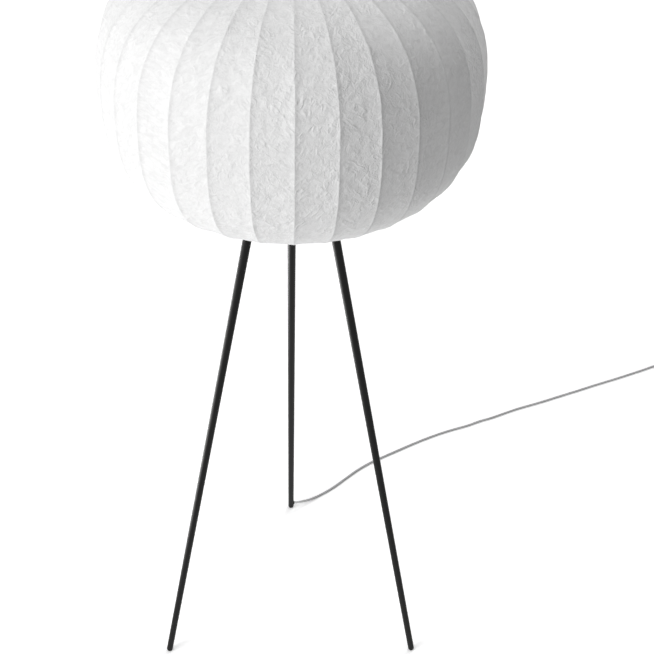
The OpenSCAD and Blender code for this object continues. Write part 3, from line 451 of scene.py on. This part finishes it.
def crinkled_paper():
    """Handmade white paper: a fine crumple, and long creases that lean their own way on every panel and come
    in patches, and hair-thin fibres, all on the place on the flat sheet. Its colour is darker in the
    crumple's hollows, a painted shade, with flecks from the fibres. Beside each rib it is darker in soft grey
    lines that fade with the distance from it: painted shade of the paper's tuck by the wire, and the wire
    showing through."""
    material, tree, shader = new_finish("crinkled_paper", (0.93, 0.93, 0.93), 0.85)
    sheet = add(tree, "Attribute", attribute_name="sheet_place").outputs["Vector"]
    drawn = add(tree, "Mapping", {"Scale": (1.6, 0.8, 1)}, {"Vector": sheet}).outputs[0]
    patches = add(tree, "TexNoise", {"Scale": 9, "Detail": 2}, {"Vector": sheet})
    where = ramp(tree, patches.outputs[0], [(0.36, 0.3), (0.60, 1.0)])
    crumple = add(tree, "TexNoise", {"Scale": 115, "Detail": 4, "Roughness": 0.60, "Distortion": 1.3},
                  {"Vector": sheet})
    creases = add(tree, "TexNoise", {"Scale": 75, "Detail": 1.5, "Roughness": 0.5, "Offset": 0.9, "Gain": 1.5,
                                     "Distortion": 0.5},
                  {"Vector": drawn}, noise_type="RIDGED_MULTIFRACTAL", normalize=False)
    gaps = add(tree, "TexNoise", {"Scale": 45, "Detail": 1}, {"Vector": sheet})
    broken = ramp(tree, gaps.outputs[0], [(0.45, 0.0), (0.62, 1.0)])
    fibres = add(tree, "TexNoise", {"Scale": 800, "Detail": 3, "Roughness": 0.6, "Distortion": 1.5},
                 {"Vector": sheet})
    soft = maths(tree, "MULTIPLY", crumple.outputs[0], where)
    sharp = maths(tree, "MULTIPLY", maths(tree, "MULTIPLY", creases.outputs[0], broken), 0.4)
    hair = maths(tree, "MULTIPLY", fibres.outputs[0], 0.05)
    height = maths(tree, "ADD", maths(tree, "ADD", soft, sharp), hair)
    relief(tree, shader, height, 0.0015)
    shader.inputs["Specular IOR Level"].default_value = 0.25
    # Colour darker where the crumple is low: painted shade in its hollows, with flecks from the fibres.
    crumple_shade_and_fibres = maths(tree, "ADD", crumple.outputs[0], maths(tree, "MULTIPLY", fibres.outputs[0], 0.3))
    cloud = ramp(tree, crumple_shade_and_fibres, [(0.45, 0.86), (0.85, 0.99)])
    edges = add(tree, "SeparateXYZ", links={
        0: add(tree, "Attribute", attribute_name="rib_distance").outputs["Vector"]})
    # Darker within a few millimetres of each rib: painted shade of the paper's tuck by the wire, and the wire
    # showing through.
    left = add(tree, "MapRange", {"From Max": 0.0080, "To Min": 0.92, "To Max": 1.0},
               {"Value": edges.outputs[0]}, interpolation_type="SMOOTHSTEP")
    right = add(tree, "MapRange", {"From Max": 0.0018, "To Min": 0.92, "To Max": 1.0},
                {"Value": edges.outputs[1]}, interpolation_type="SMOOTHSTEP")
    rib_line_shade = maths(tree, "MULTIPLY", left.outputs[0], right.outputs[0])
    paper_colour_with_rib_shade = add(tree, "VectorMath", links={0: cloud, "Scale": rib_line_shade}, operation="SCALE")
    tree.links.new(paper_colour_with_rib_shade.outputs[0], shader.inputs["Base Color"])
    return material


def braided_textile():
    """A braid of grey yarns: two sets of diagonals over the UV that cross each other, each yarn rounded."""
    material, tree, shader = new_finish("braided_textile", (0.36, 0.36, 0.37), 0.85)
    place = add(tree, "UVMap", uv_map="braid").outputs[0]
    split = add(tree, "SeparateXYZ", links={0: place})
    across = maths(tree, "MULTIPLY", split.outputs[0], 8)
    along = maths(tree, "MULTIPLY", split.outputs[1], 2.5)
    one = maths(tree, "PINGPONG", maths(tree, "ADD", across, along), 0.5)
    other = maths(tree, "PINGPONG", maths(tree, "SUBTRACT", across, along), 0.5)
    yarn = maths(tree, "MAXIMUM", one, other)
    # Darker where the braid dips between yarns: painted shade in the grooves.
    tone = ramp(tree, yarn, [(0.15, (0.46, 0.46, 0.47)), (0.5, (0.78, 0.78, 0.79))])
    tree.links.new(tone, shader.inputs["Base Color"])
    relief(tree, shader, yarn, 0.0004)
    return material


def black_lacquer():
    """Satin powder coat: a fine orange peel and a faint mottle."""
    material, _, shader = plain_finish("black_lacquer", (0.007, 0.007, 0.007), 0.42, mottle=(25, 0.12),
                                       spread=0.04, grain=(1100, 0.00003))
    shader.inputs["Specular IOR Level"].default_value = 0.13
    return material


def black_nylon():
    """Turned nylon of the feet and the outlet bush, a little duller than the lacquer."""
    material, _, shader = plain_finish("black_nylon", (0.009, 0.009, 0.009), 0.50, grain=(1800, 0.00004))
    shader.inputs["Specular IOR Level"].default_value = 0.11
    return material


def white_wire():
    """Wire dipped in white enamel."""
    return plain_finish("white_wire", (0.82, 0.82, 0.80), 0.42, mottle=(60, 0.04), grain=(900, 0.00005))[0]


def zinc_steel():
    """Zinc plating with its cloudy spangle and fine drawn lines."""
    return plain_finish("zinc_steel", (0.62, 0.63, 0.65), 0.34, 1.0, mottle=(220, 0.10), spread=0.10,
                        grain=(1400, 0.00003), stretch=(1, 1, 0.12))[0]


def holder_plastic():
    """Moulded thermoset of the lampholder, faintly yellowed."""
    return plain_finish("holder_plastic", (0.80, 0.78, 0.72), 0.40, mottle=(30, 0.05),
                        grain=(1600, 0.00002))[0]


def terminal_ceramic():
    """Unglazed steatite with fine pores."""
    return plain_finish("terminal_ceramic", (0.82, 0.79, 0.72), 0.75, mottle=(120, 0.06),
                        grain=(2200, 0.00008))[0]


def brass():
    """Plain brass, a little tarnished in patches."""
    return plain_finish("brass", (0.80, 0.62, 0.30), 0.30, 1.0, mottle=(160, 0.16), spread=0.10,
                        grain=(1500, 0.00002))[0]


def opal_glass():
    """White frosted glass that lets a little light through."""
    material, _, shader = plain_finish("opal_glass", (0.90, 0.90, 0.87), 0.28, mottle=(20, 0.02),
                                       spread=0.05, grain=(700, 0.00001))
    shader.inputs["Subsurface Weight"].default_value = 0.5
    shader.inputs["Subsurface Radius"].default_value = (0.01, 0.01, 0.01)
    return material


def core_pvc():
    """The soft coloured coats of the two inner cores."""
    return plain_finish("core_pvc", (0.17, 0.08, 0.04), 0.45, grain=(1200, 0.00003))[0]


def switch_plastic():
    """Black moulded plastic with a fine spark-eroded texture."""
    material, _, shader = plain_finish("switch_plastic", (0.016, 0.016, 0.017), 0.50, mottle=(50, 0.08),
                                       grain=(1300, 0.00012))
    shader.inputs["Specular IOR Level"].default_value = 0.25
    return material


def cord_sheath():
    """The cord's short end inside the leg, on which the yarn ends fray into a matt nap."""
    return plain_finish("cord_sheath", (0.30, 0.30, 0.31), 0.9, mottle=(300, 0.2), grain=(2500, 0.00015))[0]


def pin_nickel():
    """Nickel-plated pins with scuffs along them from use."""
    return plain_finish("pin_nickel", (0.72, 0.70, 0.66), 0.24, 1.0, mottle=(300, 0.08), spread=0.10,
                        grain=(1800, 0.00003), stretch=(1, 0.08, 1))[0]


FINISHES = {"paper": crinkled_paper(), "cord_textile": braided_textile(), "black_lacquer": black_lacquer(),
            "black_nylon": black_nylon(), "white_wire": white_wire(), "zinc_steel": zinc_steel(),
            "holder_plastic": holder_plastic(), "terminal_ceramic": terminal_ceramic(), "brass": brass(),
            "opal_glass": opal_glass(), "core_pvc": core_pvc(), "switch_plastic": switch_plastic(),
            "pin_nickel": pin_nickel()}


def dress():
    """Puts on every solid the finish that its record names, and the scene's own pieces take theirs."""
    for row in frame["record"]["subparts"]:
        slots = CAD[row["node"]].data.materials
        slots.clear()
        slots.append(FINISHES[row["material_slot"]])
    CAD["cord_end"].data.materials[0] = cord_sheath()
    for piece in paper_pieces:
        piece.data.materials.append(FINISHES["paper"])
    for piece in cord_pieces:
        piece.data.materials.append(FINISHES["cord_textile"])
    spring_piece.data.materials.append(FINISHES["zinc_steel"])


dress()


# ---------------------------------------------------------------- floor and light

KEY_AZIMUTH = math.radians(212)
KEY_HEIGHT = math.radians(20)
KEY_WIDTH = math.radians(36)
KEY_STRENGTH = 2.38
BACK_AZIMUTH = math.radians(60)
BACK_HEIGHT = math.radians(32)
BACK_WIDTH = math.radians(20)
BACK_STRENGTH = 0.90
SKY_STRENGTH = 0.31

# The low lights: middle on the floor, size and power
LOW_REFLECTOR = ((0, -0.1), (0.7, 0.7), 3.5)
FRONT_REFLECTOR = ((0, -0.8), (1.6, 1.0), 4.0)
LOW_STRIP = ((-1.3, 0.3), (1.4, 2.0), 62.0)
LOW_Z = 0.0005

# The weak light inside the shade: height over the shade's middle, radius and power
INSIDE_HEIGHT = 0.11
INSIDE_RADIUS = 0.03
INSIDE_POWER = 0.25

# The floor: how grey it bounces light, what it glows by itself, and how far round a foot its glow dims, a
# painted contact shadow
FLOOR_HALF = 12
FLOOR_BOUNCE = 0.43
FLOOR_GLOW = 0.45
CONTACT_REACH = 0.05


def window(name, azimuth, height, width, strength):
    """A far soft light in the direction that the azimuth and height give."""
    lamp = bpy.data.objects.new(name, bpy.data.lights.new(name, "SUN"))
    lamp.data.energy = strength
    lamp.data.angle = width
    back = np.array([math.cos(height) * math.cos(azimuth), math.cos(height) * math.sin(azimuth),
                     math.sin(height)])
    side = np.cross([0, 0, 1], back)
    side /= np.linalg.norm(side)
    up = np.cross(back, side)
    lamp.matrix_world = Matrix([[side[i], up[i], back[i], 3 * back[i]] for i in range(3)] + [[0, 0, 0, 1]])
    bpy.context.scene.collection.objects.link(lamp)


def low_panel(name, middle, size, power):
    """A round or oval soft light just over the floor that shines upwards and isn't seen itself."""
    lamp = bpy.data.objects.new(name, bpy.data.lights.new(name, "AREA"))
    lamp.data.shape = "ELLIPSE"
    lamp.data.size, lamp.data.size_y = size
    lamp.data.energy = power
    lamp.matrix_world = Matrix([[1, 0, 0, middle[0]], [0, -1, 0, middle[1]], [0, 0, -1, LOW_Z], [0, 0, 0, 1]])
    lamp.visible_camera = False
    bpy.context.scene.collection.objects.link(lamp)
    return lamp


def light_inside():
    """The daylight that real paper lets through, as a weak round light inside that isn't seen itself."""
    lamp = bpy.data.objects.new("light_inside", bpy.data.lights.new("light_inside", "POINT"))
    lamp.data.energy = INSIDE_POWER
    lamp.data.shadow_soft_size = INSIDE_RADIUS
    lamp.location = (0, 0, SHADE_Z + INSIDE_HEIGHT)
    lamp.visible_camera = lamp.visible_glossy = False
    bpy.context.scene.collection.objects.link(lamp)


def pale_floor():
    """A floor that the camera sees as white with the object's shadows on it; its glow dims near the object, a
    painted contact shadow. To other rays it is grey, and in reflections it is plain white."""
    e = FLOOR_HALF
    floor = surface("floor", [[[(-e, -e, 0), (e, -e, 0)], [(-e, e, 0), (e, e, 0)]]])
    material = bpy.data.materials.new("pale_floor")
    material.use_nodes = True
    tree = material.node_tree
    tree.nodes.remove(tree.nodes["Principled BSDF"])
    path = add(tree, "LightPath")
    # The glow dims near the object: a painted contact shadow.
    painted_contact_shadow = add(tree, "AmbientOcclusion", {"Distance": CONTACT_REACH}, samples=8)
    seen = add(tree, "AddShader", links={
        0: add(tree, "BsdfDiffuse", {"Color": (1, 1, 1, 1)}).outputs[0],
        1: add(tree, "Emission", {"Strength": FLOOR_GLOW}, {"Color": painted_contact_shadow.outputs["Color"]}).outputs[0]})
    white = add(tree, "Emission", {"Color": (1, 1, 1, 1), "Strength": 1.0})
    bounce = add(tree, "BsdfDiffuse", {"Color": (FLOOR_BOUNCE, FLOOR_BOUNCE, FLOOR_BOUNCE, 1)})
    shiny = maths(tree, "MAXIMUM", path.outputs["Is Glossy Ray"], path.outputs["Is Transmission Ray"])
    other = add(tree, "MixShader", links={0: shiny, 1: bounce.outputs[0], 2: white.outputs[0]})
    mix = add(tree, "MixShader", links={0: path.outputs["Is Camera Ray"], 1: other.outputs[0],
                                        2: seen.outputs[0]})
    tree.links.new(mix.outputs[0], tree.nodes["Material Output"].inputs["Surface"])
    floor.data.materials.append(material)


def white_room():
    """White behind the object and in reflections, and a soft even light from all round."""
    world = bpy.data.worlds.new("studio")
    bpy.context.scene.world = world
    world.use_nodes = True
    tree = world.node_tree
    tree.nodes.clear()
    path = add(tree, "LightPath")
    seen = maths(tree, "MAXIMUM", path.outputs["Is Camera Ray"],
                 maths(tree, "MAXIMUM", path.outputs["Is Glossy Ray"], path.outputs["Is Transmission Ray"]))
    lit = add(tree, "Background", {"Color": (1, 1, 1, 1), "Strength": SKY_STRENGTH})
    white = add(tree, "Background", {"Color": (1, 1, 1, 1), "Strength": 1.0})
    mix = add(tree, "MixShader", links={0: seen, 1: lit.outputs[0], 2: white.outputs[0]})
    add(tree, "OutputWorld", links={"Surface": mix.outputs[0]})


def lights():
    """Soft light from the left and from behind, low reflectors that lift the underside, a low strip that the
    dark pieces mirror, and the weak light inside."""
    window("key_window", KEY_AZIMUTH, KEY_HEIGHT, KEY_WIDTH, KEY_STRENGTH)
    window("back_window", BACK_AZIMUTH, BACK_HEIGHT, BACK_WIDTH, BACK_STRENGTH)
    low_panel("low_reflector", *LOW_REFLECTOR).visible_glossy = False
    low_panel("front_reflector", *FRONT_REFLECTOR).visible_glossy = False
    low_panel("low_strip", *LOW_STRIP).visible_diffuse = False
    light_inside()


pale_floor()
white_room()
lights()
bpy.context.scene.view_settings.view_transform = "Standard"
